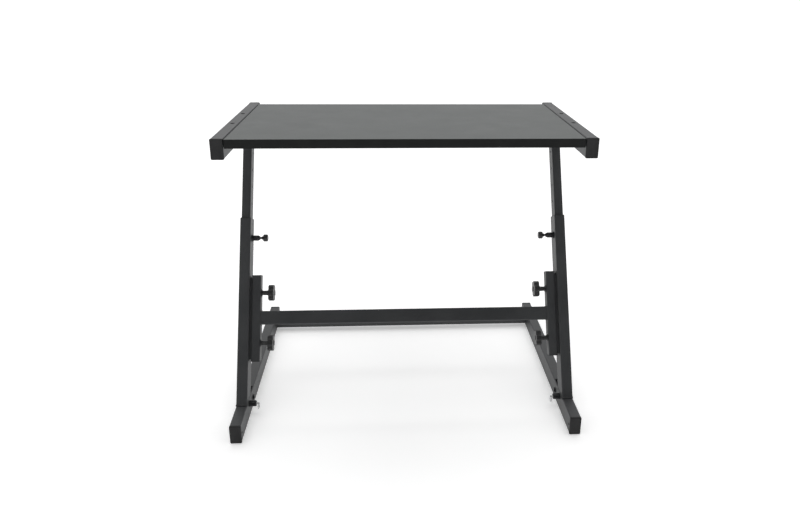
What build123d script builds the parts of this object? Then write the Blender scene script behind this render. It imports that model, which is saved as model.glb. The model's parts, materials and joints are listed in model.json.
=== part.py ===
from build123d import *
import os
from math import cos, radians, sin

# Drafting table on two Z-shaped steel side frames. Each side has a level foot, a telescopic leg that
# leans back, and a level rail; the board hangs between the rails.
# Millimetres. +X is the user's right, +Y points to the back, +Z is up, and the origin is on the floor
# under the middle of the table. "out" is always a distance from the middle plane X = 0.

# ---- driving dimensions ----
table_width = 925
table_height = 807
rail_length = 500
rail_width = 30
rail_height = 50
rail_front = -290

board_depth = 475
board_thickness = 22
board_gap = 2.5
board_drop = 1
banding = 1

foot_length = 690
foot_width = 30
foot_height = 50
floor_gap = 2
frame_out = 453

leg_width = 30
leg_depth = 50
inner_leg_width = 25
inner_leg_depth = 40
leg_wall = 1.5
lean = 27
leg_base_y = -226
leg_end = 508
inner_leg_start = 226
plunger_along = 453
hole_pitch = 50
holes_below = 2
holes_above = 5

wall = 2
corner = 3
running_gap = 0.05

fold_pivot = (-174, 27)
tongue_width = 24
tongue_front = -252
tongue_back = -198
slot_back = -156
lock_pin = (-226, 42)
tilt_drop = 36

cross_tube_along = 226
knob_spread = 70
end_tube_length = 236
clamp_plate = 5
end_tube_width = 25
end_tube_depth = 30
cross_tube_height = 38
cross_tube_depth = 25

ring_radius = 9
ring_wire = 1

# ---- worked-out places ----
lean_sin = sin(radians(lean))
lean_cos = cos(radians(lean))
foot_top = floor_gap + foot_height
rail_out = table_width / 2 - rail_width / 2
rail_inside = table_width / 2 - rail_width
rail_bottom = table_height - rail_height
rail_back = rail_front + rail_length
leg_inside = frame_out - leg_width / 2
foot_inside = frame_out - foot_width / 2
foot_outside = frame_out + foot_width / 2
board_top = table_height - board_drop
board_bottom = board_top - board_thickness
board_width = 2 * (rail_inside - board_gap)
board_middle = rail_front + board_depth / 2
tilt_height = rail_bottom - tilt_drop
tilt_along = (tilt_height - foot_top) / lean_cos
tilt_y = leg_base_y + tilt_along * lean_sin
inner_leg_inside = frame_out - inner_leg_width / 2
inner_leg_outside = frame_out + inner_leg_width / 2
cap_nub_y = foot_length / 2 - 13
end_tube_outside = leg_inside - clamp_plate
end_tube_inside = end_tube_outside - end_tube_width
knob_places = (cross_tube_along - knob_spread, cross_tube_along + knob_spread)
sides = ((-1, "left"), (1, "right"))

os.makedirs("parts", exist_ok=True)


# ---- shared shapes ----
def save(piece, node):
    """Label a finished sub-part and write its STEP file."""
    piece.part.label = node
    export_step(piece.part, f"parts/{node}.step")


def leg_point(along, back=0.0):
    """Y and Z of a place on the leg: along its axis from the foot's top, and behind that axis."""
    y = leg_base_y + along * lean_sin + back * lean_cos
    z = foot_top + along * lean_cos - back * lean_sin
    return y, z


def leg_section(side, out, along):
    """Plane square to the leg's axis, with local x along X and local y pointing behind the leg."""
    y, z = leg_point(along)
    return Plane(origin=(side * out, y, z), x_dir=(1, 0, 0), z_dir=(0, lean_sin, lean_cos))


def level_section(out_x, y, z, facing=1):
    """Upright plane across a level tube, facing the back (1) or the front (-1)."""
    return Plane(origin=(out_x, y, z), x_dir=(1, 0, 0), z_dir=(0, facing, 0))


def add_tube(start, width, depth, thickness, length, radius=corner):
    """Straight rectangular tube with rounded corners."""
    with BuildSketch(start) as section:
        RectangleRounded(width, depth, radius)
        RectangleRounded(
            width - 2 * thickness,
            depth - 2 * thickness,
            radius - thickness / 2,
            mode=Mode.SUBTRACT,
        )
    extrude(section.sketch, amount=length)


def add_block(start, width, depth, length, radius=0.0, mode=Mode.ADD):
    """Rectangular block, with its edges along the length rounded when a radius is given."""
    with BuildSketch(start) as section:
        if radius > 0:
            RectangleRounded(width, depth, radius)
        else:
            Rectangle(width, depth)
    extrude(section.sketch, amount=length, mode=mode)


def add_rod(side, place, far, near, radius, mode=Mode.ADD):
    """Round bar along X, or a round hole when subtracted, between two distances out."""
    y, z = place
    with BuildSketch(Plane(origin=(side * far, y, z), x_dir=(0, 1, 0), z_dir=(-side, 0, 0))) as disc:
        Circle(radius)
    extrude(disc.sketch, amount=far - near, mode=mode)


def add_turned(side, place, outline, mode=Mode.ADD):
    """Solid turned about a line along X from an outline of (distance out, radius) points."""
    y, z = place
    with BuildSketch(Plane(origin=(0, y, z), x_dir=(side, 0, 0), z_dir=(0, -side, 0))) as profile:
        with BuildLine():
            Polyline(*outline, close=True)
        make_face()
    revolve(profile.sketch, axis=Axis((0, y, z), (1, 0, 0)), mode=mode)


def add_hexagon(side, place, far, near, across_flats, mode=Mode.ADD):
    """Hexagonal prism along X, for bolt heads, nuts and sockets."""
    y, z = place
    with BuildSketch(Plane(origin=(side * far, y, z), x_dir=(0, 1, 0), z_dir=(-side, 0, 0))) as head:
        RegularPolygon(across_flats / 2, 6, major_radius=False)
    extrude(head.sketch, amount=far - near, mode=mode)


def add_spring(side, place, far, near, mean_radius, wire_radius, pitch):
    """Compression spring wound round a line along X."""
    y, z = place
    coil = Helix(
        pitch=pitch,
        height=far - near,
        radius=mean_radius,
        center=(side * far, y, z),
        direction=(-side, 0, 0),
    )
    with BuildSketch(Plane(origin=coil @ 0, z_dir=coil % 0)) as wire:
        Circle(wire_radius)
    sweep(wire.sketch, path=coil, is_frenet=True)


def add_knob_head(side, place, far, near, radius, lobes):
    """Lobed grip of a hand knob."""
    y, z = place
    with BuildSketch(Plane(origin=(side * far, y, z), x_dir=(0, 1, 0), z_dir=(-side, 0, 0))) as grip:
        Circle(radius)
        with PolarLocations(radius * 1.12, lobes):
            Circle(radius * 0.3, mode=Mode.SUBTRACT)
        fillet(grip.vertices(), radius=radius * 0.08)
    extrude(grip.sketch, amount=far - near)


# ---- base ----
def make_foot(side, name):
    """Foot tube with its slot for the leg's tongue, and holes for the pivot, locking pin and caps."""
    cap_lip = 6
    length = foot_length - 2 * cap_lip
    slot_front = tongue_front - 2
    slot_width = tongue_width + 1
    slot_depth = 6
    with BuildPart() as foot:
        start = level_section(side * frame_out, -length / 2, floor_gap + foot_height / 2)
        add_tube(start, foot_width, foot_height, wall, length)
        with BuildSketch(Plane.XY.offset(foot_top + 1)) as slot:
            with Locations((side * frame_out, (slot_front + slot_back) / 2)):
                Rectangle(slot_width, slot_back - slot_front)
        extrude(slot.sketch, amount=-slot_depth - 1, mode=Mode.SUBTRACT)
        add_rod(side, fold_pivot, foot_outside + 1, foot_inside - 1, 4 + running_gap, Mode.SUBTRACT)
        inside = foot_inside + wall + 1
        add_rod(side, lock_pin, inside, foot_inside - 1, 4 + running_gap, Mode.SUBTRACT)
        for nub_y in (-cap_nub_y, cap_nub_y):
            add_rod(side, (nub_y, foot_height / 2), inside, foot_inside - 1, 3, Mode.SUBTRACT)
    save(foot, f"foot_{name}")


def make_foot_caps(side, name):
    """Plastic plugs for both ends of a foot, each with a snap nub and a sole that the table stands on."""
    lip = 6
    proud = 0.4
    nub_proud = 0.8
    sole_length = 28
    sole_width = 26
    lip_height = foot_top + proud
    tube_end = foot_length / 2 - lip
    with BuildPart() as caps:
        for facing in (-1, 1):
            face = level_section(side * frame_out, facing * tube_end, lip_height / 2, facing)
            add_block(face, foot_width + 2 * proud, lip_height, lip, corner)
            plug = level_section(side * frame_out, facing * tube_end, floor_gap + foot_height / 2, -facing)
            add_block(plug, foot_width - 2 * wall, foot_height - 2 * wall, 14, corner - wall / 2)
            sole = level_section(side * frame_out, facing * tube_end, floor_gap / 2, -facing)
            add_block(sole, sole_width, floor_gap, sole_length)
        fillet(caps.faces().sort_by(Axis.Y)[0].edges(), radius=2.4)
        fillet(caps.faces().sort_by(Axis.Y)[-1].edges(), radius=2.4)
        for nub_y in (-cap_nub_y, cap_nub_y):
            nub_place = (nub_y, foot_height / 2)
            add_rod(side, nub_place, foot_inside + wall + 1, foot_inside - nub_proud, 2.9)
    save(caps, f"foot_caps_{name}")


def make_rear_cross_tube():
    """Square tube between the feet, near their back ends."""
    size = 30
    front_y = 261
    middle = (0, front_y + size / 2, foot_top - foot_height / 2)
    with BuildPart() as tube:
        start = Plane(origin=(-foot_inside, *middle[1:]), x_dir=(0, 1, 0), z_dir=(1, 0, 0))
        add_tube(start, size, size, wall, 2 * foot_inside)
    save(tube, "rear_cross_tube")


def make_fold_pivots():
    """Low-headed bolts, thin nuts and spacer bushes on which the legs fold down onto the feet."""
    with BuildPart() as bolts:
        for side, _ in sides:
            add_rod(side, fold_pivot, foot_outside + 1, foot_inside - 5, 4)
            add_turned(side, fold_pivot, [
                (foot_outside, 0), (foot_outside, 8), (foot_outside + 1, 8), (foot_outside + 2, 6.5),
                (foot_outside + 2, 0),
            ])
            add_hexagon(side, fold_pivot, foot_outside + 3, foot_outside + 0.5, 5, Mode.SUBTRACT)
    save(bolts, "fold_pivot_bolts")
    with BuildPart() as nuts:
        for side, _ in sides:
            add_hexagon(side, fold_pivot, foot_inside, foot_inside - 4, 13)
            add_rod(side, fold_pivot, foot_inside + 1, foot_inside - 5, 4.02, Mode.SUBTRACT)
    save(nuts, "fold_pivot_nuts")
    half_bush = tongue_width / 2 - wall
    with BuildPart() as bushes:
        for side, _ in sides:
            add_rod(side, fold_pivot, frame_out + half_bush, frame_out - half_bush, 7)
            add_rod(side, fold_pivot, foot_outside, foot_inside, 4 + running_gap, Mode.SUBTRACT)
    save(bushes, "fold_pivot_bushes")


# ---- folding legs ----
def make_tongue(side, name):
    """Plate under the leg with two cheeks inside the foot that reach back to the fold pivot."""
    ear_radius = 13
    overlap = 3
    pivot_y, pivot_z = fold_pivot
    cheek_bottom = pivot_z - ear_radius
    web_top = foot_top + wall
    low_x = side * frame_out - tongue_width / 2
    with BuildPart() as tongue:
        with BuildSketch(Plane.YZ.offset(low_x)) as cheek:
            with Locations(((tongue_front + tongue_back) / 2, (cheek_bottom + web_top) / 2)):
                RectangleRounded(tongue_back - tongue_front, web_top - cheek_bottom, 1)
            with Locations((pivot_y, pivot_z)):
                Circle(ear_radius)
            make_hull()
        extrude(amount=tongue_width)
        channel = level_section(side * frame_out, tongue_front - 1, foot_top - 50)
        add_block(channel, tongue_width - 2 * wall, 100, 100, mode=Mode.SUBTRACT)
        web = level_section(side * frame_out, tongue_front - overlap, foot_top + wall / 2)
        add_block(web, leg_width, wall, tongue_back - tongue_front + 2 * overlap)
        add_rod(side, fold_pivot, foot_outside, foot_inside, 4 + running_gap, Mode.SUBTRACT)
        inner_cheek = frame_out - tongue_width / 2
        add_rod(side, lock_pin, inner_cheek + wall + 1, inner_cheek - 1, 4.3, Mode.SUBTRACT)
    save(tongue, f"leg_tongue_{name}")


def make_outer_leg(side, name):
    """Outer leg tube, cut level where it is welded to its tongue."""
    with BuildPart() as leg:
        add_tube(leg_section(side, frame_out, -30), leg_width, leg_depth, leg_wall, leg_end + 30)
        split(bisect_by=Plane.XY.offset(foot_top + wall), keep=Keep.TOP)
        inside = leg_inside + leg_wall + 1
        add_rod(side, leg_point(plunger_along), inside, leg_inside - 1, 5, Mode.SUBTRACT)
        for back in (-8, 8):
            add_rod(side, leg_point(leg_end - 14, back), inside, leg_inside - 1, 2.5, Mode.SUBTRACT)
    save(leg, f"outer_leg_{name}")


def make_leg_bushes():
    """Plastic bushes in the mouths of the outer legs, with a thin collar and two snap buttons each."""
    length = 48
    collar = 1.4
    opening_width = inner_leg_width + 2 * running_gap
    opening_depth = inner_leg_depth + 2 * running_gap
    hollow_width = leg_width - 2 * leg_wall
    hollow_depth = leg_depth - 2 * leg_wall
    with BuildPart() as bushes:
        for side, _ in sides:
            sleeve = leg_section(side, frame_out, leg_end - length)
            add_block(sleeve, hollow_width, hollow_depth, length, corner - leg_wall / 2)
            add_block(leg_section(side, frame_out, leg_end), leg_width, leg_depth, collar, corner)
            for back in (-8, 8):
                place = leg_point(leg_end - 14, back)
                add_rod(side, place, leg_inside + leg_wall + 0.5, leg_inside, 2.45)
            cavity = leg_section(side, frame_out, leg_end - length - 1)
            add_block(cavity, opening_width, opening_depth, length + collar + 2, corner, Mode.SUBTRACT)
    save(bushes, "leg_bushes")


def make_plunger_body(side, name):
    """Threaded housing of the height plunger, with its spring chamber and a tapered neck."""
    place = leg_point(plunger_along)
    face = leg_inside
    with BuildPart() as body:
        add_rod(side, place, face + leg_wall, face, 4.9)
        add_turned(side, place, [
            (face, 0), (face, 10), (face - 3, 10), (face - 3, 7.7), (face - 18, 7.7),
            (face - 19, 6.9), (face - 23, 5), (face - 23, 0),
        ])
        add_rod(side, place, face + leg_wall + 1, face - 24, 3 + running_gap, Mode.SUBTRACT)
        add_rod(side, place, face - 2, face - 19, 4.6, Mode.SUBTRACT)
    save(body, f"plunger_body_{name}")


def make_plunger(side, name):
    """Spring-loaded pin that engages the inner leg's holes, its grip, and the spring behind its collar."""
    place = leg_point(plunger_along)
    face = leg_inside
    nose = inner_leg_inside - 0.2
    grip_face = face - 27.5
    grip_end = grip_face - 17.5
    with BuildPart() as pin:
        add_turned(side, place, [
            (nose, 0), (nose, 2.2), (nose - 0.8, 3), (face - 2.1, 3), (face - 2.1, 4.5),
            (face - 4, 4.5), (face - 4, 3), (grip_end + 4, 3), (grip_end + 4, 0),
        ])
    save(pin, f"plunger_pin_{name}")
    with BuildPart() as grip:
        add_turned(side, place, [
            (grip_face, 0), (grip_face, 4.2), (grip_face - 3, 4.8), (grip_face - 5, 8.6),
            (grip_face - 7, 10.3), (grip_end + 3, 10.3), (grip_end + 1, 9.6), (grip_end, 7.6), (grip_end, 0),
        ])
        add_rod(side, place, grip_face + 1, grip_end + 4, 3, Mode.SUBTRACT)
    save(grip, f"plunger_knob_{name}")
    with BuildPart() as spring:
        add_spring(side, place, face - 4.8, face - 18.2, 3.85, 0.4, 2.4)
    save(spring, f"plunger_spring_{name}")


def make_clamp_plates():
    """Flat bars welded to the legs' inner faces; the hand knobs thread into them."""
    length = end_tube_length - 8
    with BuildPart() as plates:
        for side, _ in sides:
            middle = (leg_inside + end_tube_outside) / 2
            start = leg_section(side, middle, cross_tube_along - length / 2)
            add_block(start, clamp_plate, end_tube_depth - 5, length)
            for along in knob_places:
                add_rod(side, leg_point(along), leg_inside + 1, end_tube_outside - 1, 5.05, Mode.SUBTRACT)
    save(plates, "clamp_plates")


def make_end_tube(side, name):
    """Upright end tube of the H-shaped brace, bolted to the clamp plate by two hand knobs."""
    middle = (end_tube_outside + end_tube_inside) / 2
    with BuildPart() as tube:
        start = leg_section(side, middle, cross_tube_along - end_tube_length / 2)
        add_tube(start, end_tube_width, end_tube_depth, wall, end_tube_length)
        for along in knob_places:
            add_rod(side, leg_point(along), end_tube_outside + 1, end_tube_inside - 1, 5.2, Mode.SUBTRACT)
    save(tube, f"brace_end_tube_{name}")


def make_end_plugs():
    """Flat plastic plugs in the open ends of the brace's end tubes."""
    lip = 2
    middle = (end_tube_outside + end_tube_inside) / 2
    hollow_width = end_tube_width - 2 * wall
    hollow_depth = end_tube_depth - 2 * wall
    with BuildPart() as plugs:
        for side, _ in sides:
            low = cross_tube_along - end_tube_length / 2
            high = cross_tube_along + end_tube_length / 2
            lower_lip = leg_section(side, middle, low - lip)
            add_block(lower_lip, end_tube_width, end_tube_depth, lip, corner)
            add_block(leg_section(side, middle, low), hollow_width, hollow_depth, 10, corner - wall / 2)
            add_block(leg_section(side, middle, high), end_tube_width, end_tube_depth, lip, corner)
            add_block(leg_section(side, middle, high - 10), hollow_width, hollow_depth, 10, corner - wall / 2)
    save(plugs, "brace_end_plugs")


def make_cross_tube():
    """Level tube of the brace, between the two end tubes."""
    y, z = leg_point(cross_tube_along)
    with BuildPart() as tube:
        start = Plane(origin=(-end_tube_inside, y, z), x_dir=(0, lean_sin, lean_cos), z_dir=(1, 0, 0))
        add_tube(start, cross_tube_height, cross_tube_depth, wall, 2 * end_tube_inside)
    save(tube, "brace_cross_tube")


def make_knob_washers():
    """Washers between the brace's end tubes and the hand knobs."""
    with BuildPart() as washers:
        for side, _ in sides:
            for along in knob_places:
                place = leg_point(along)
                add_rod(side, place, end_tube_inside, end_tube_inside - 1.6, 10.5)
                add_rod(side, place, end_tube_inside + 1, end_tube_inside - 3, 5.2, Mode.SUBTRACT)
    save(washers, "knob_washers")


def make_hand_knob(side, name, along, level):
    """Star knob with a moulded-in stud that passes through the end tube into the clamp plate."""
    place = leg_point(along)
    seat = end_tube_inside - 1.7
    head_far = end_tube_inside - 20.5
    head_near = head_far - 15
    with BuildPart() as knob:
        add_knob_head(side, place, head_far, head_near, 23, 6)
        fillet(knob.faces().sort_by(Axis.X)[0].edges(), radius=1.6)
        fillet(knob.faces().sort_by(Axis.X)[-1].edges(), radius=1.6)
        add_turned(side, place, [
            (seat, 0), (seat, 7.5), (seat - 3, 6.3), (head_far + 3, 6.8), (head_far - 1, 10),
            (head_far - 1, 0),
        ])
        add_turned(side, place, [
            (head_near + 2, 0), (head_near + 2, 9), (head_near - 1.5, 7), (head_near - 1.5, 0),
        ])
        add_rod(side, place, leg_inside - 0.5, seat - 1, 5)
    save(knob, f"hand_knob_{level}_{name}")


def make_lock_pin_body(side, name):
    """Housing of the locking pin, welded to the foot's inner face."""
    face = foot_inside
    with BuildPart() as body:
        add_turned(side, lock_pin, [
            (face, 0), (face, 8.5), (face - 18.5, 8.5), (face - 20.5, 6.8), (face - 20.5, 0),
        ])
        add_rod(side, lock_pin, face + 1, face - 21, 3 + running_gap, Mode.SUBTRACT)
        add_rod(side, lock_pin, face + 1, face - 17.5, 6.3, Mode.SUBTRACT)
    save(body, f"lock_pin_body_{name}")


def make_lock_pin(side, name):
    """Locking pin with a collar and an eye at its tail, its pull ring, and its spring."""
    face = foot_inside
    nose = face + wall + 0.8
    eye_out = face - 25.5
    tail = eye_out - 3
    y, z = lock_pin
    with BuildPart() as pin:
        add_turned(side, lock_pin, [
            (nose, 0), (nose, 3.4), (nose - 0.6, 4), (face - 0.5, 4), (face - 0.5, 6.2),
            (face - 3, 6.2), (face - 3, 3), (tail, 3), (tail, 0),
        ])
        for flank in (-1, 1):
            with BuildSketch(Plane.XY.offset(z - 5)) as shave:
                with Locations((side * (eye_out + 0.5), y + flank * 4)):
                    Rectangle(8, 4)
            extrude(shave.sketch, amount=10, mode=Mode.SUBTRACT)
        with BuildSketch(Plane(origin=(side * eye_out, y - 5, z), z_dir=(0, 1, 0))) as eye:
            Circle(1.35)
        extrude(eye.sketch, amount=10, mode=Mode.SUBTRACT)
    save(pin, f"lock_pin_{name}")
    with BuildPart() as ring:
        with BuildSketch(Plane.XZ.offset(-y)) as wire:
            with Locations((side * eye_out, z + 0.1)):
                Circle(ring_wire)
        centre = (side * eye_out, y, z + 0.1 - ring_radius)
        revolve(wire.sketch, axis=Axis(centre, (1, 0, 0)))
    save(ring, f"pull_ring_{name}")
    with BuildPart() as spring:
        add_spring(side, lock_pin, face - 4, face - 16.7, 4.9, 0.55, 3)
    save(spring, f"lock_spring_{name}")


# ---- telescopic inner legs ----
def make_inner_leg(side, name):
    """Inner leg tube with the row of height holes on its inner face and the tilt bolt's cross hole."""
    top = tilt_along + 10
    hole_depth = inner_leg_inside + leg_wall + 1
    with BuildPart() as leg:
        start = leg_section(side, frame_out, inner_leg_start)
        add_tube(start, inner_leg_width, inner_leg_depth, leg_wall, top - inner_leg_start)
        for step in range(-holes_below, holes_above + 1):
            place = leg_point(plunger_along + step * hole_pitch)
            add_rod(side, place, hole_depth, inner_leg_inside - 1, 3.25, Mode.SUBTRACT)
        tilt_place = leg_point(tilt_along)
        far = inner_leg_outside + 1
        add_rod(side, tilt_place, far, inner_leg_inside - 1, 4 + running_gap, Mode.SUBTRACT)
    save(leg, f"inner_leg_{name}")


def make_leg_glides():
    """Plastic plugs at the lower ends of the inner legs that guide them inside the outer legs."""
    lip = 8
    lip_width = leg_width - 2 * leg_wall - 0.2
    lip_depth = leg_depth - 2 * leg_wall - 0.2
    hollow_width = inner_leg_width - 2 * leg_wall
    hollow_depth = inner_leg_depth - 2 * leg_wall
    with BuildPart() as glides:
        for side, _ in sides:
            add_block(leg_section(side, frame_out, inner_leg_start - lip), lip_width, lip_depth, lip, 2)
            spigot = leg_section(side, frame_out, inner_leg_start)
            add_block(spigot, hollow_width, hollow_depth, 16, corner - leg_wall / 2)
    save(glides, "leg_glides")


def make_tilt_bushes():
    """Spacer bushes across the inner legs, on which the tilt bolts turn."""
    half_bush = inner_leg_width / 2 - leg_wall
    with BuildPart() as bushes:
        for side, _ in sides:
            place = leg_point(tilt_along)
            add_rod(side, place, frame_out + half_bush, frame_out - half_bush, 7)
            add_rod(side, place, frame_out + 20, frame_out - 20, 4 + running_gap, Mode.SUBTRACT)
    save(bushes, "tilt_bushes")


# ---- tilting top ----
rail_lip = 5
rail_screws_y = (-105, 28)


def make_rail(side, name):
    """Level rail beside the board, with access holes for its two bracket screws."""
    length = rail_length - 2 * rail_lip
    start = level_section(side * rail_out, rail_front + rail_lip, rail_bottom + rail_height / 2)
    with BuildPart() as rail:
        add_tube(start, rail_width, rail_height, wall, length)
        with BuildSketch(Plane.XY.offset(table_height + 1)) as access:
            with Locations(*[(side * rail_out, y) for y in rail_screws_y]):
                Circle(6)
        extrude(access.sketch, amount=-10, mode=Mode.SUBTRACT)
        with BuildSketch(Plane.XY.offset(rail_bottom - 1)) as screw_holes:
            with Locations(*[(side * rail_out, y) for y in rail_screws_y]):
                Circle(3.1)
        extrude(screw_holes.sketch, amount=10, mode=Mode.SUBTRACT)
    save(rail, f"rail_{name}")


def make_rail_caps(side, name):
    """Plastic plugs for both ends of a rail."""
    proud = 0.5
    middle_z = rail_bottom + rail_height / 2
    with BuildPart() as caps:
        for facing, tube_end in ((-1, rail_front + rail_lip), (1, rail_back - rail_lip)):
            face = level_section(side * rail_out, tube_end, middle_z, facing)
            add_block(face, rail_width + 2 * proud, rail_height + 2 * proud, rail_lip, corner)
            plug = level_section(side * rail_out, tube_end, middle_z, -facing)
            add_block(plug, rail_width - 2 * wall, rail_height - 2 * wall, 14, corner - wall / 2)
        fillet(caps.faces().sort_by(Axis.Y)[0].edges(), radius=2)
        fillet(caps.faces().sort_by(Axis.Y)[-1].edges(), radius=2)
    save(caps, f"rail_caps_{name}")


def make_tilt_bracket(side, name):
    """Bracket under the rail: a plate held by the rail's screws, and two ears round the inner leg."""
    plate = 3
    gap = 0.3
    near = inner_leg_inside - gap - plate
    far = inner_leg_outside + gap + plate
    ear_radius = 14
    plate_front = rail_screws_y[0] - 18
    plate_back = tilt_y + 34
    low_x = near if side > 0 else -far
    with BuildPart() as bracket:
        with BuildSketch(Plane.YZ.offset(low_x)) as ear:
            with Locations((tilt_y, rail_bottom - plate / 2)):
                Rectangle(68, plate)
            with Locations((tilt_y, tilt_height)):
                Circle(ear_radius)
            make_hull()
        extrude(amount=far - near)
        between = level_section(side * frame_out, tilt_y - 60, rail_bottom - plate - 30)
        add_block(between, inner_leg_width + 2 * gap, 60, 120, mode=Mode.SUBTRACT)
        with BuildSketch(Plane.XY.offset(rail_bottom - plate)) as web:
            with Locations((side * frame_out, (plate_front + plate_back) / 2)):
                RectangleRounded(far - near, plate_back - plate_front, 4)
        extrude(web.sketch, amount=plate)
        with BuildSketch(Plane.XY.offset(rail_bottom - plate - 1)) as holes:
            with Locations(*[(side * rail_out, y) for y in rail_screws_y]):
                Circle(3.1)
        extrude(holes.sketch, amount=plate + 2, mode=Mode.SUBTRACT)
        add_rod(side, (tilt_y, tilt_height), far + 1, near - 1, 4.02, Mode.SUBTRACT)
    save(bracket, f"tilt_bracket_{name}")


def make_tilt_bolts():
    """Round-headed bolts through the brackets' ears, the hinge pins of the top."""
    far = inner_leg_outside + 3.3
    place = (tilt_y, tilt_height)
    with BuildPart() as bolts:
        for side, _ in sides:
            add_rod(side, place, far, far - 51, 4)
            add_turned(side, place, [
                (far, 0), (far, 9.5), (far + 1.5, 9.2), (far + 3.5, 6.6), (far + 4.4, 3.2), (far + 4.5, 0),
            ])
    save(bolts, "tilt_bolts")


def make_tilt_knob(side, name):
    """Hand knob on the tilt bolt that clamps the bracket's ears on the inner leg."""
    place = (tilt_y, tilt_height)
    seat = inner_leg_inside - 3.4
    head_far = seat - 11
    head_near = head_far - 14
    with BuildPart() as knob:
        add_knob_head(side, place, head_far, head_near, 18, 5)
        fillet(knob.faces().sort_by(Axis.X)[0].edges(), radius=1.2)
        fillet(knob.faces().sort_by(Axis.X)[-1].edges(), radius=1.2)
        add_turned(side, place, [
            (seat, 0), (seat, 8), (head_far + 2, 7.6), (head_far - 1, 10), (head_far - 1, 0),
        ])
        add_rod(side, place, seat + 1, seat - 20.5, 4 + running_gap, Mode.SUBTRACT)
    save(knob, f"tilt_knob_{name}")


def make_rail_fasteners():
    """Socket screws inside the rails that hold the tilt brackets, and the nuts under them."""
    floor = rail_bottom + wall
    plate_bottom = rail_bottom - 3
    places = [(side * rail_out, y) for side, _ in sides for y in rail_screws_y]
    with BuildPart() as screws:
        with BuildSketch(Plane.XY.offset(floor)) as heads:
            with Locations(*places):
                Circle(5)
        extrude(heads.sketch, amount=6)
        with BuildSketch(Plane.XY.offset(plate_bottom - 6)) as shanks:
            with Locations(*places):
                Circle(3)
        extrude(shanks.sketch, amount=floor - plate_bottom + 7)
        with BuildSketch(Plane.XY.offset(floor + 3)) as sockets:
            with Locations(*places):
                RegularPolygon(2.5, 6, major_radius=False)
        extrude(sockets.sketch, amount=4, mode=Mode.SUBTRACT)
    save(screws, "rail_screws")
    with BuildPart() as nuts:
        with BuildSketch(Plane.XY.offset(plate_bottom - 5)) as outline:
            with Locations(*places):
                RegularPolygon(5, 6, major_radius=False)
            with Locations(*places):
                Circle(3.02, mode=Mode.SUBTRACT)
        extrude(outline.sketch, amount=5)
    save(nuts, "rail_nuts")


angle_front = rail_front + 100
angle_back = rail_front + board_depth - 35
angle_thickness = 2.5
board_screw_places = [
    (side * (rail_inside - 15), angle_front + share * (angle_back - angle_front))
    for side, _ in sides
    for share in (0.1, 0.5, 0.9)
]


def make_board_angle(side, name):
    """Steel angle welded to the rail's inner face, on which the board rests."""
    leg = 25
    drop = 20
    low_x = rail_inside - leg if side > 0 else -rail_inside
    length = angle_back - angle_front
    with BuildPart() as angle:
        with BuildSketch(Plane.XY.offset(board_bottom - angle_thickness)) as shelf:
            with Locations((low_x + leg / 2, (angle_front + angle_back) / 2)):
                Rectangle(leg, length)
            with Locations(*[place for place in board_screw_places if place[0] * side > 0]):
                Circle(2.3, mode=Mode.SUBTRACT)
        extrude(shelf.sketch, amount=angle_thickness)
        with BuildSketch(Plane.XY.offset(board_bottom - drop)) as upright:
            with Locations((side * (rail_inside - angle_thickness / 2), (angle_front + angle_back) / 2)):
                Rectangle(angle_thickness, length)
        extrude(upright.sketch, amount=drop)
    save(angle, f"board_angle_{name}")


def make_board():
    """Board core, its edge banding, and the screws that come up into it through the angles."""
    core_width = board_width - 2 * banding
    core_depth = board_depth - 2 * banding
    screw_depth = 16
    with BuildPart() as board:
        with BuildSketch(Plane.XY.offset(board_bottom)) as outline:
            with Locations((0, board_middle)):
                Rectangle(core_width, core_depth)
        extrude(outline.sketch, amount=board_thickness)
        with BuildSketch(Plane.XY.offset(board_bottom)) as pilots:
            with Locations(*board_screw_places):
                Circle(2.05)
        extrude(pilots.sketch, amount=screw_depth + 1, mode=Mode.SUBTRACT)
    save(board, "board")
    with BuildPart() as band:
        with BuildSketch(Plane.XY.offset(board_bottom)) as strip:
            with Locations((0, board_middle)):
                RectangleRounded(board_width, board_depth, 0.8)
                Rectangle(core_width, core_depth, mode=Mode.SUBTRACT)
        extrude(strip.sketch, amount=board_thickness)
    save(band, "edge_banding")
    head_top = board_bottom - angle_thickness
    with BuildPart() as screws:
        with BuildSketch(Plane.XY.offset(head_top - 2.4)) as heads:
            with Locations(*board_screw_places):
                Circle(4.2)
        extrude(heads.sketch, amount=2.4)
        with BuildSketch(Plane.XY.offset(head_top - 1)) as shanks:
            with Locations(*board_screw_places):
                Circle(2)
        extrude(shanks.sketch, amount=angle_thickness + screw_depth + 1)
    save(screws, "board_screws")


# ---- the whole table ----
for table_side, side_name in sides:
    make_foot(table_side, side_name)
    make_foot_caps(table_side, side_name)
    make_tongue(table_side, side_name)
    make_outer_leg(table_side, side_name)
    make_plunger_body(table_side, side_name)
    make_plunger(table_side, side_name)
    make_end_tube(table_side, side_name)
    make_hand_knob(table_side, side_name, knob_places[0], "lower")
    make_hand_knob(table_side, side_name, knob_places[1], "upper")
    make_lock_pin_body(table_side, side_name)
    make_lock_pin(table_side, side_name)
    make_inner_leg(table_side, side_name)
    make_rail(table_side, side_name)
    make_rail_caps(table_side, side_name)
    make_tilt_bracket(table_side, side_name)
    make_tilt_knob(table_side, side_name)
    make_board_angle(table_side, side_name)
make_rear_cross_tube()
make_fold_pivots()
make_leg_bushes()
make_clamp_plates()
make_end_plugs()
make_cross_tube()
make_knob_washers()
make_leg_glides()
make_tilt_bushes()
make_tilt_bolts()
make_rail_fasteners()
make_board()
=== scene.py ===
"""Looks for the drafting table: materials, weld beads, camera, light and floor."""

import json
from math import cos, pi, radians, sin

import bmesh
import bpy
from mathutils import Matrix, Vector


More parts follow.
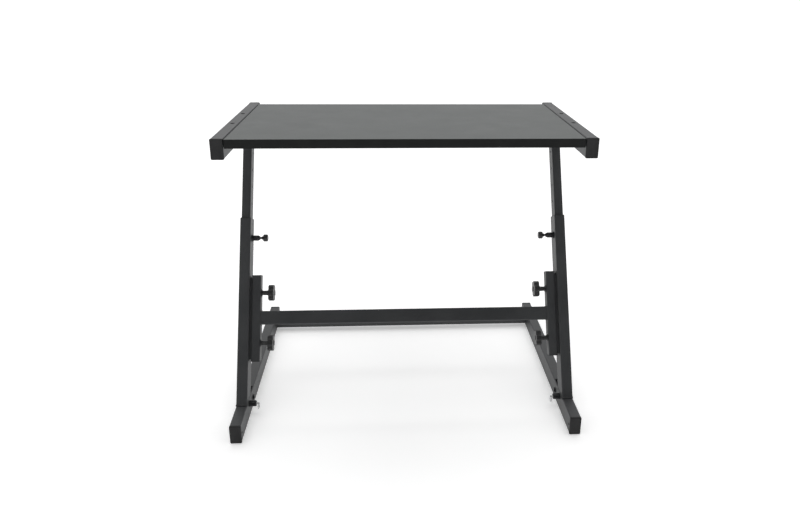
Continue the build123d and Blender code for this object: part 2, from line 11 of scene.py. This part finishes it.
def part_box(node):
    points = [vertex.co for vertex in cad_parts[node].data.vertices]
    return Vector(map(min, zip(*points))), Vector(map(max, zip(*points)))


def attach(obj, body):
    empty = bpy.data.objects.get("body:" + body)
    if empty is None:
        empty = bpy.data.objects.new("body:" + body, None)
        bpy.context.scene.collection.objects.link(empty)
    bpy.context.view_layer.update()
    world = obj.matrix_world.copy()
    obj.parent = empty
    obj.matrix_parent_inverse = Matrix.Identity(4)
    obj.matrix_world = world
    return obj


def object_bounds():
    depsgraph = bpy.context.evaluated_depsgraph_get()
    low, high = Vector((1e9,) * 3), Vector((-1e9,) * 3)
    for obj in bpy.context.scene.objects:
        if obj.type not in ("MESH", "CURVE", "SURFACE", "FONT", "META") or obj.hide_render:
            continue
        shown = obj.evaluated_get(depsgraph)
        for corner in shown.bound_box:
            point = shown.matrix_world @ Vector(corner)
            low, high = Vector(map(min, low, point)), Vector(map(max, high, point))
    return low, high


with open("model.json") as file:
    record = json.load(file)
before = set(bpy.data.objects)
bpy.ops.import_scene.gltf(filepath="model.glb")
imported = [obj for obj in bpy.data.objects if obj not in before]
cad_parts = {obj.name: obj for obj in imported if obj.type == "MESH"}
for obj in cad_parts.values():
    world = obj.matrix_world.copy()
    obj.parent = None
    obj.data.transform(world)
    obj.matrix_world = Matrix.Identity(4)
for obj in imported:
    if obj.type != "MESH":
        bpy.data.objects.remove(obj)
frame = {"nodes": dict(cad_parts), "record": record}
cad_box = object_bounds()

SIDES = ("left", "right")
LEAN = radians(27)

# Sizes of leaning parts, which their upright boxes don't give, in metres.
LEG_DEPTH = 0.050
BRACE_HEIGHT = 0.038
BRACE_DEPTH = 0.025
PLATE_LENGTH = 0.228
PLATE_DEPTH = 0.025

WELD_SUNK = 0.0002
LEG_BEAD = 0.0014
FRAME_BEAD = 0.0019
BRACE_BEAD = 0.0016
BARREL_BEAD = 0.0013
STITCH_BEAD = 0.0014

X_AXIS = Vector((1, 0, 0))
Y_AXIS = Vector((0, 1, 0))
Z_AXIS = Vector((0, 0, 1))
UP_LEG = Vector((0, sin(LEAN), cos(LEAN)))
BEHIND_LEG = Vector((0, cos(LEAN), -sin(LEAN)))


# ---- shader building blocks ----
class Paint:
    """One procedural material: a Principled shader with helpers for what feeds it."""

    def __init__(self, name, roughness=0.5, metallic=0.0, specular=0.5):
        self.material = bpy.data.materials.new(name)
        self.material.use_nodes = True
        self.nodes = self.material.node_tree.nodes
        self.links = self.material.node_tree.links
        self.shader = self.nodes["Principled BSDF"]
        self.shader.inputs["Roughness"].default_value = roughness
        self.shader.inputs["Metallic"].default_value = metallic
        self.shader.inputs["Specular IOR Level"].default_value = specular
        self.place = self.nodes.new("ShaderNodeTexCoord").outputs["Object"]

    def feed(self, socket, source):
        self.links.new(source, self.shader.inputs[socket])

    def noise(self, scale, detail=3.0, stretch=(1, 1, 1), roughness=0.55):
        """Noise whose features are about 1/scale metres across, stretched along the axes."""
        mapping = self.nodes.new("ShaderNodeMapping")
        mapping.inputs["Scale"].default_value = stretch
        self.links.new(self.place, mapping.inputs["Vector"])
        texture = self.nodes.new("ShaderNodeTexNoise")
        texture.inputs["Scale"].default_value = scale
        texture.inputs["Detail"].default_value = detail
        texture.inputs["Roughness"].default_value = roughness
        self.links.new(mapping.outputs["Vector"], texture.inputs["Vector"])
        return texture.outputs["Fac"]

    def cells(self, scale):
        texture = self.nodes.new("ShaderNodeTexVoronoi")
        texture.inputs["Scale"].default_value = scale
        self.links.new(self.place, texture.inputs["Vector"])
        return texture.outputs["Distance"]

    def fit(self, source, low, high, to_low=0.0, to_high=1.0):
        """Source rescaled from low..high to to_low..to_high, and clamped there."""
        node = self.nodes.new("ShaderNodeMapRange")
        limits = {"From Min": low, "From Max": high, "To Min": to_low, "To Max": to_high}
        for socket, value in limits.items():
            node.inputs[socket].default_value = value
        self.links.new(source, node.inputs["Value"])
        return node.outputs["Result"]

    def combine(self, first, second, operation):
        node = self.nodes.new("ShaderNodeMath")
        node.operation = operation
        self.links.new(first, node.inputs[0])
        self.links.new(second, node.inputs[1])
        return node.outputs[0]

    def mix(self, share, first, second):
        """Colour between two others; each is a plain colour or a socket."""
        node = self.nodes.new("ShaderNodeMix")
        node.data_type = "RGBA"
        self.links.new(share, node.inputs["Factor"])
        for socket, colour in ((node.inputs[6], first), (node.inputs[7], second)):
            if isinstance(colour, tuple):
                socket.default_value = (*colour, 1.0)
            else:
                self.links.new(colour, socket)
        return node.outputs[2]

    def edges(self, radius):
        """1 along sharp edges and 0 on flats, from how far a rounded normal turns away."""
        rounded = self.nodes.new("ShaderNodeBevel")
        rounded.samples = 4
        rounded.inputs["Radius"].default_value = radius
        true = self.nodes.new("ShaderNodeNewGeometry")
        dot = self.nodes.new("ShaderNodeVectorMath")
        dot.operation = "DOT_PRODUCT"
        self.links.new(rounded.outputs["Normal"], dot.inputs[0])
        self.links.new(true.outputs["Normal"], dot.inputs[1])
        return self.fit(dot.outputs["Value"], 0.995, 0.82)

    def from_middle(self):
        """Distance in metres from the object's origin."""
        length = self.nodes.new("ShaderNodeVectorMath")
        length.operation = "LENGTH"
        self.links.new(self.place, length.inputs[0])
        return length.outputs["Value"]

    def bump(self, *layers):
        """Stack of (height, strength, distance in metres) bumps, ending on the shader's normal."""
        normal = None
        for height, strength, distance in layers:
            node = self.nodes.new("ShaderNodeBump")
            node.inputs["Strength"].default_value = strength
            node.inputs["Distance"].default_value = distance
            self.links.new(height, node.inputs["Height"])
            if normal is not None:
                self.links.new(normal, node.inputs["Normal"])
            normal = node.outputs["Normal"]
        self.feed("Normal", normal)


# ---- materials ----
def powder_coat():
    """Black powder coat with a fine orange-peel grain, rubbed slightly lighter along its edges."""
    paint = Paint("powder_coat")
    grain = paint.noise(1500, detail=2)
    peel = paint.noise(420, detail=2)
    cloud = paint.noise(9, detail=5)
    tone = paint.mix(paint.fit(cloud, 0.35, 0.68), (0.030, 0.032, 0.034), (0.041, 0.043, 0.045))
    speckled = paint.mix(paint.fit(grain, 0.56, 0.72, 0.0, 0.35), tone, (0.085, 0.087, 0.09))
    rub_spots = paint.fit(paint.noise(70, detail=5), 0.42, 0.66)
    rub = paint.combine(paint.edges(0.0012), rub_spots, "MULTIPLY")
    paint.feed("Base Color", paint.mix(paint.fit(rub, 0, 1, 0, 0.6), speckled, (0.13, 0.132, 0.136)))
    fine_gloss = paint.fit(grain, 0.3, 0.7, -0.05, 0.05)
    broad_gloss = paint.fit(cloud, 0.3, 0.7, 0.44, 0.52)
    paint.feed("Roughness", paint.combine(fine_gloss, broad_gloss, "ADD"))
    paint.bump((peel, 0.35, 0.00018), (grain, 0.3, 0.00007))
    return paint.material


def weld_paint():
    """The same powder coat over a weld: glossier, with a few pits."""
    paint = Paint("weld_paint", roughness=0.42)
    lumps = paint.noise(600, detail=4)
    tone = paint.mix(paint.fit(lumps, 0.35, 0.7), (0.026, 0.027, 0.028), (0.052, 0.053, 0.055))
    paint.feed("Base Color", tone)
    paint.feed("Roughness", paint.fit(lumps, 0.3, 0.7, 0.36, 0.52))
    paint.bump((lumps, 0.5, 0.0003))
    return paint.material


def moulded_plastic(name, colour, roughness, grain_depth, specular=0.5):
    """Moulded black plastic: fine spark-eroded grain, faint flow marks and scuffed edges."""
    paint = Paint(name, specular=specular)
    grain = paint.noise(2600, detail=2)
    flow = paint.noise(45, detail=3, stretch=(1, 1, 0.35))
    lighter = tuple(1.5 * channel + 0.004 for channel in colour)
    scuffed = tuple(3.2 * channel + 0.03 for channel in colour)
    tone = paint.mix(paint.fit(flow, 0.35, 0.68), colour, lighter)
    scuff_spots = paint.fit(paint.noise(160, detail=5), 0.4, 0.66)
    scuffs = paint.combine(paint.edges(0.0009), scuff_spots, "MULTIPLY")
    paint.feed("Base Color", paint.mix(paint.fit(scuffs, 0, 1, 0, 0.5), tone, scuffed))
    paint.feed("Roughness", paint.fit(grain, 0.25, 0.75, roughness - 0.06, roughness + 0.08))
    paint.bump((grain, 0.5, grain_depth), (flow, 0.15, 0.0002))
    return paint.material


def black_oxide():
    """Blackened steel with its edges worn bright, and a faint oily mottle."""
    paint = Paint("black_oxide", metallic=0.65)
    mottle = paint.noise(260, detail=4)
    turned = paint.noise(300, detail=2, stretch=(9, 1, 1))
    tone = paint.mix(paint.fit(mottle, 0.35, 0.7), (0.018, 0.018, 0.020), (0.042, 0.042, 0.046))
    worn_spots = paint.fit(paint.noise(220, detail=4), 0.36, 0.62)
    worn = paint.combine(paint.edges(0.0007), worn_spots, "MULTIPLY")
    paint.feed("Base Color", paint.mix(paint.fit(worn, 0, 1, 0, 0.7), tone, (0.22, 0.22, 0.23)))
    paint.feed("Roughness", paint.fit(turned, 0.3, 0.7, 0.3, 0.48))
    paint.bump((turned, 0.25, 0.00006))
    return paint.material


def zinc_steel():
    """Zinc-plated steel with fine turning marks."""
    paint = Paint("zinc_steel", metallic=1.0)
    turned = paint.noise(420, detail=3, stretch=(12, 1, 1))
    bloom = paint.noise(55, detail=4)
    tone = paint.mix(paint.fit(bloom, 0.35, 0.7), (0.40, 0.41, 0.43), (0.62, 0.62, 0.60))
    paint.feed("Base Color", tone)
    paint.feed("Roughness", paint.fit(turned, 0.3, 0.7, 0.24, 0.42))
    paint.bump((turned, 0.3, 0.00005))
    return paint.material


def ring_wire():
    """Nickel-plated spring wire, drawn lines and a few dull spots."""
    paint = Paint("ring_wire", metallic=1.0)
    drawn = paint.noise(900, detail=3, stretch=(1, 4, 4))
    spots = paint.fit(paint.noise(340, detail=3), 0.52, 0.7)
    paint.feed("Base Color", paint.mix(spots, (0.60, 0.60, 0.61), (0.36, 0.355, 0.345)))
    dullness = paint.fit(spots, 0, 1, 0, 0.15)
    paint.feed("Roughness", paint.combine(paint.fit(drawn, 0.3, 0.7, 0.2, 0.3), dullness, "ADD"))
    paint.bump((drawn, 0.2, 0.00004))
    return paint.material


def laminate():
    """Grey low-pressure laminate: faint mottle, pebbled grain, hairline scratches and pencil rub."""
    paint = Paint("laminate")
    mottle = paint.noise(14, detail=6)
    fleck = paint.noise(900, detail=2)
    pebble = paint.cells(950)
    tone = paint.mix(paint.fit(mottle, 0.36, 0.66), (0.043, 0.050, 0.048), (0.055, 0.062, 0.060))
    flecked = paint.mix(paint.fit(fleck, 0.5, 0.72, 0.0, 0.5), tone, (0.095, 0.099, 0.097))
    hairlines = paint.fit(paint.noise(60, detail=4, stretch=(0.6, 14, 1)), 0.67, 0.73)
    hatched = paint.fit(paint.noise(48, detail=4, stretch=(11, 0.8, 1)), 0.68, 0.74)
    lines = paint.combine(hairlines, hatched, "MAXIMUM")
    scratched = paint.mix(paint.fit(lines, 0, 1, 0, 0.16), flecked, (0.17, 0.174, 0.17))
    rubbed = paint.fit(paint.noise(5, detail=3), 0.5, 0.74, 0, 0.25)
    paint.feed("Base Color", paint.mix(rubbed, scratched, (0.042, 0.044, 0.0445)))
    paint.feed("Roughness", paint.combine(
        paint.fit(mottle, 0.3, 0.7, 0.46, 0.54),
        paint.fit(lines, 0, 1, 0, 0.12),
        "ADD",
    ))
    paint.bump((pebble, 0.22, 0.00012), (fleck, 0.15, 0.00005))
    return paint.material


def edge_band():
    """Black plastic edge band with fine lines along it and a slightly scuffed arris."""
    paint = Paint("edge_band", specular=0.2)
    along = paint.noise(700, detail=3, stretch=(0.05, 0.05, 1))
    blotch = paint.noise(30, detail=4)
    tone = paint.mix(paint.fit(blotch, 0.35, 0.7), (0.003, 0.0035, 0.0035), (0.006, 0.007, 0.0065))
    scuff_spots = paint.fit(paint.noise(90, detail=5), 0.45, 0.66)
    scuffs = paint.combine(paint.edges(0.0009), scuff_spots, "MULTIPLY")
    paint.feed("Base Color", paint.mix(paint.fit(scuffs, 0, 1, 0, 0.4), tone, (0.12, 0.12, 0.12)))
    paint.feed("Roughness", paint.fit(along, 0.3, 0.7, 0.42, 0.56))
    paint.bump((along, 0.3, 0.00008))
    return paint.material


def paint_nodes():
    """Give every CAD node the material of its slot in the record; the plungers' pins look blackened."""
    by_slot = {
        "frame_steel": powder_coat(),
        "cap_plastic": moulded_plastic("cap_plastic", (0.009, 0.009, 0.0095), 0.55, 0.00010, 0.3),
        "knob_plastic": moulded_plastic("knob_plastic", (0.012, 0.012, 0.0125), 0.4, 0.00007),
        "black_hardware": black_oxide(),
        "bright_steel": zinc_steel(),
        "ring_steel": ring_wire(),
        "board_laminate": laminate(),
        "banding_plastic": edge_band(),
    }
    for row in frame["record"]["subparts"]:
        node = frame["nodes"][row["node"]]
        node.data.materials.clear()
        node.data.materials.append(by_slot[row["material_slot"]])
    for side in SIDES:
        frame["nodes"][f"plunger_pin_{side}"].data.materials[0] = by_slot["black_hardware"]


# ---- weld beads ----
def centre(node):
    low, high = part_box(node)
    return (low + high) / 2


def weld(name, corners, body, bead, material, closed=True):
    """Rippled bead along straight runs between corners, swept as a closed tube."""
    step = 0.0009
    ripple = 0.0026
    ripple_height = 0.13
    unevenness = 0.06
    uneven_rate = 1900
    around = 8
    points = list(corners) + ([corners[0]] if closed else [])
    path = []
    for start, end in zip(points, points[1:]):
        count = max(2, int((end - start).length / step))
        path += [start.lerp(end, i / count) for i in range(count)]
    if not closed:
        path.append(points[-1])
    mesh = bmesh.new()
    rings = []
    travelled = 0.0
    total = len(path)
    for i, point in enumerate(path):
        before = path[i - 1] if closed or i else point
        after = path[(i + 1) % total] if closed or i + 1 < total else point
        ahead = (after - before).normalized()
        travelled += (point - before).length
        carried = side - ahead * side.dot(ahead) if rings else ahead.orthogonal()
        side = carried.normalized()
        other = ahead.cross(side)
        taper = 1.0 if closed else min(1.0, 0.35 + 0.2 * min(i, total - 1 - i))
        waves = ripple_height * sin(2 * pi * travelled / ripple) + unevenness * sin(travelled * uneven_rate)
        radius = bead * taper * (1 + waves)
        rings.append([
            mesh.verts.new(point + radius * (side * cos(turn) + other * sin(turn)))
            for turn in (2 * pi * k / around for k in range(around))
        ])
    for one, two in zip(rings, rings[1:] + rings[:1] if closed else rings[1:]):
        for k in range(around):
            n = (k + 1) % around
            mesh.faces.new((one[k], one[n], two[n], two[k]))
    if not closed:
        mesh.faces.new(list(reversed(rings[0])))
        mesh.faces.new(rings[-1])
    bmesh.ops.recalc_face_normals(mesh, faces=mesh.faces)
    data = bpy.data.meshes.new(name)
    mesh.to_mesh(data)
    mesh.free()
    data.polygons.foreach_set("use_smooth", [True] * len(data.polygons))
    piece = bpy.data.objects.new(name, data)
    bpy.context.scene.collection.objects.link(piece)
    piece.data.materials.append(material)
    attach(piece, body)


def box_loop(middle, first, second):
    """Four corners of a rectangle from its middle and two half sides."""
    return [middle + first * one + second * two for one, two in ((-1, -1), (1, -1), (1, 1), (-1, 1))]


def round_loop(middle, radius, count=20):
    """Corners of a circle round X."""
    turns = [2 * pi * i / count for i in range(count)]
    return [middle + Vector((0, radius * cos(turn), radius * sin(turn))) for turn in turns]


def stitch(name, middle, along, half, body, material):
    """Short open bead, as in a stitch weld."""
    weld(name, [middle - along * half, middle + along * half], body, STITCH_BEAD, material, closed=False)


def weld_leg_foot(side, material):
    """Bead round the cut end of an outer leg, on its tongue."""
    low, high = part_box(f"outer_leg_{side}")
    half_width = (high.x - low.x) / 2 - 3 * WELD_SUNK
    half_run = LEG_DEPTH / 2 / cos(LEAN)
    middle = Vector(((low.x + high.x) / 2, low.y + half_run, low.z + 2 * WELD_SUNK))
    loop = box_loop(middle, X_AXIS * half_width, Y_AXIS * half_run)
    weld(f"weld_leg_{side}", loop, "legs", LEG_BEAD, material)


def weld_cross_tubes(side, sign, material):
    """Beads round one end of the rear cross tube and of the brace's cross tube."""
    rear_low, rear_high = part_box("rear_cross_tube")
    rear_half = (rear_high.y - rear_low.y) / 2
    rear = Vector((rear_high.x * sign, *centre("rear_cross_tube").yz))
    weld(f"weld_rear_{side}", box_loop(rear, Y_AXIS * rear_half, Z_AXIS * rear_half), "base",
         FRAME_BEAD, material)
    brace_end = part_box("brace_cross_tube")[1].x * sign
    brace = Vector((brace_end, *centre("brace_cross_tube").yz))
    up = UP_LEG * (BRACE_HEIGHT / 2 - WELD_SUNK)
    back = BEHIND_LEG * (BRACE_DEPTH / 2 - WELD_SUNK)
    weld(f"weld_brace_{side}", box_loop(brace, up, back), "legs", BRACE_BEAD, material)


def weld_lock_pin(side, face, material):
    """Bead round the locking pin's housing, on the foot."""
    low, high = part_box(f"lock_pin_body_{side}")
    middle = Vector((face, *centre(f"lock_pin_body_{side}").yz))
    loop = round_loop(middle, (high.z - low.z) / 2)
    weld(f"weld_lock_pin_{side}", loop, "base", BARREL_BEAD, material)


def weld_clamp_plate(side, face, material):
    """Three stitches along each long edge of a clamp plate, on the leg."""
    half_stitch = 0.011
    middle = Vector((face, *centre("clamp_plates").yz))
    for edge, edge_name in ((-1, "front"), (1, "back")):
        for share, level in ((-0.75, "low"), (0, "middle"), (0.75, "high")):
            up = UP_LEG * (PLATE_LENGTH / 2 * share)
            place = middle + up + BEHIND_LEG * (PLATE_DEPTH / 2 * edge)
            name = f"weld_plate_{edge_name}_{level}_{side}"
            stitch(name, place, UP_LEG, half_stitch, "legs", material)


def weld_board_angle(side, material):
    """Three stitches along the lower edge of a board angle, on the rail."""
    half_stitch = 0.014
    low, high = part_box(f"board_angle_{side}")
    seam_x = high.x if side == "right" else low.x
    for share, level in ((0.12, "front"), (0.5, "middle"), (0.88, "back")):
        place = Vector((seam_x, low.y + share * (high.y - low.y), low.z))
        stitch(f"weld_angle_{level}_{side}", place, Y_AXIS, half_stitch, "top", material)


def add_welds():
    """Beads where the frame's tubes, plates and housings are welded together."""
    painted = weld_paint()
    for side in SIDES:
        sign = -1 if side == "left" else 1
        leg_low, leg_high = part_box(f"outer_leg_{side}")
        inner_face = leg_high.x if side == "left" else leg_low.x
        weld_leg_foot(side, painted)
        weld_cross_tubes(side, sign, painted)
        weld_lock_pin(side, inner_face, painted)
        weld_clamp_plate(side, inner_face, painted)
        weld_board_angle(side, painted)


# ---- camera, light and floor ----
def add_camera():
    """Camera at the photograph's angle, a little left of the table's middle and above its top."""
    data = bpy.data.cameras.new("camera")
    camera = bpy.data.objects.new("camera", data)
    bpy.context.scene.collection.objects.link(camera)
    bpy.context.scene.camera = camera
    turned_right = 0.0584
    tipped_down = 0.3296
    rolled = 0.0103
    camera.matrix_world = (
        Matrix.Translation((-0.0471, -1.8586, 1.1630))
        @ Matrix.Rotation(-turned_right, 4, "Z")
        @ Matrix.Rotation(pi / 2 - tipped_down, 4, "X")
        @ Matrix.Rotation(rolled, 4, "Z")
    )
    data.sensor_width = 36
    data.lens = 30.419
    data.shift_x = -0.0319
    data.shift_y = -0.0611
    data.clip_end = 400


def add_light(name, place, target, size, power):
    data = bpy.data.lights.new(name, "AREA")
    data.shape = "RECTANGLE"
    data.size, data.size_y = size
    data.energy = power
    light = bpy.data.objects.new(name, data)
    light.location = place
    light.rotation_euler = (Vector(target) - Vector(place)).to_track_quat("-Z", "Y").to_euler()
    bpy.context.scene.collection.objects.link(light)


def add_world():
    """White to look at; its light is dim from the front and bright from behind and above."""
    world = bpy.data.worlds.new("studio")
    world.use_nodes = True
    nodes = world.node_tree.nodes
    links = world.node_tree.links
    seen = nodes["Background"]
    seen.inputs["Color"].default_value = (1, 1, 1, 1)
    seen.inputs["Strength"].default_value = 1.05
    lit = nodes.new("ShaderNodeBackground")
    lit.inputs["Color"].default_value = (1, 1, 1, 1)
    direction = nodes.new("ShaderNodeSeparateXYZ")
    links.new(nodes.new("ShaderNodeTexCoord").outputs["Generated"], direction.inputs["Vector"])
    strength = nodes.new("ShaderNodeMapRange")
    front_to_back = {"From Min": -0.85, "From Max": 0.75, "To Min": 0.12, "To Max": 0.95}
    for socket, value in front_to_back.items():
        strength.inputs[socket].default_value = value
    links.new(direction.outputs["Y"], strength.inputs["Value"])
    links.new(strength.outputs["Result"], lit.inputs["Strength"])
    choice = nodes.new("ShaderNodeMixShader")
    links.new(nodes.new("ShaderNodeLightPath").outputs["Is Camera Ray"], choice.inputs["Fac"])
    links.new(lit.outputs["Background"], choice.inputs[1])
    links.new(seen.outputs["Background"], choice.inputs[2])
    links.new(choice.outputs["Shader"], nodes["World Output"].inputs["Surface"])
    bpy.context.scene.world = world


def add_floor():
    """Pale floor out to the horizon; it glows a little more far away, so that it stays white there."""
    radius = 60
    under_feet = 0.0002
    mesh = bmesh.new()
    bmesh.ops.create_circle(mesh, cap_ends=True, segments=64, radius=radius)
    data = bpy.data.meshes.new("floor")
    mesh.to_mesh(data)
    mesh.free()
    floor = bpy.data.objects.new("floor", data)
    floor.location = (0, 0, cad_box[0][2] - under_feet)
    bpy.context.scene.collection.objects.link(floor)
    paint = Paint("floor", roughness=0.8, specular=0.2)
    cloud = paint.fit(paint.noise(3, detail=4), 0.3, 0.7)
    paint.feed("Base Color", paint.mix(cloud, (0.95, 0.95, 0.95), (0.97, 0.97, 0.97)))
    paint.shader.inputs["Emission Color"].default_value = (1, 1, 1, 1)
    paint.feed("Emission Strength", paint.fit(paint.from_middle(), 1.2, 5, 0.32, 0.62))
    floor.data.materials.append(paint.material)


def add_studio():
    """A broad light overhead and a weak fill in front."""
    bpy.context.scene.view_settings.view_transform = "Standard"
    add_world()
    add_light("overhead", (0, 0.2, 3.4), (0, 0.1, 0), (4.0, 4.0), 66)
    add_light("front_left", (-2.4, -2.8, 2.0), (0, 0, 0.4), (1.8, 1.8), 5)


paint_nodes()
add_welds()
add_camera()
add_studio()
add_floor()
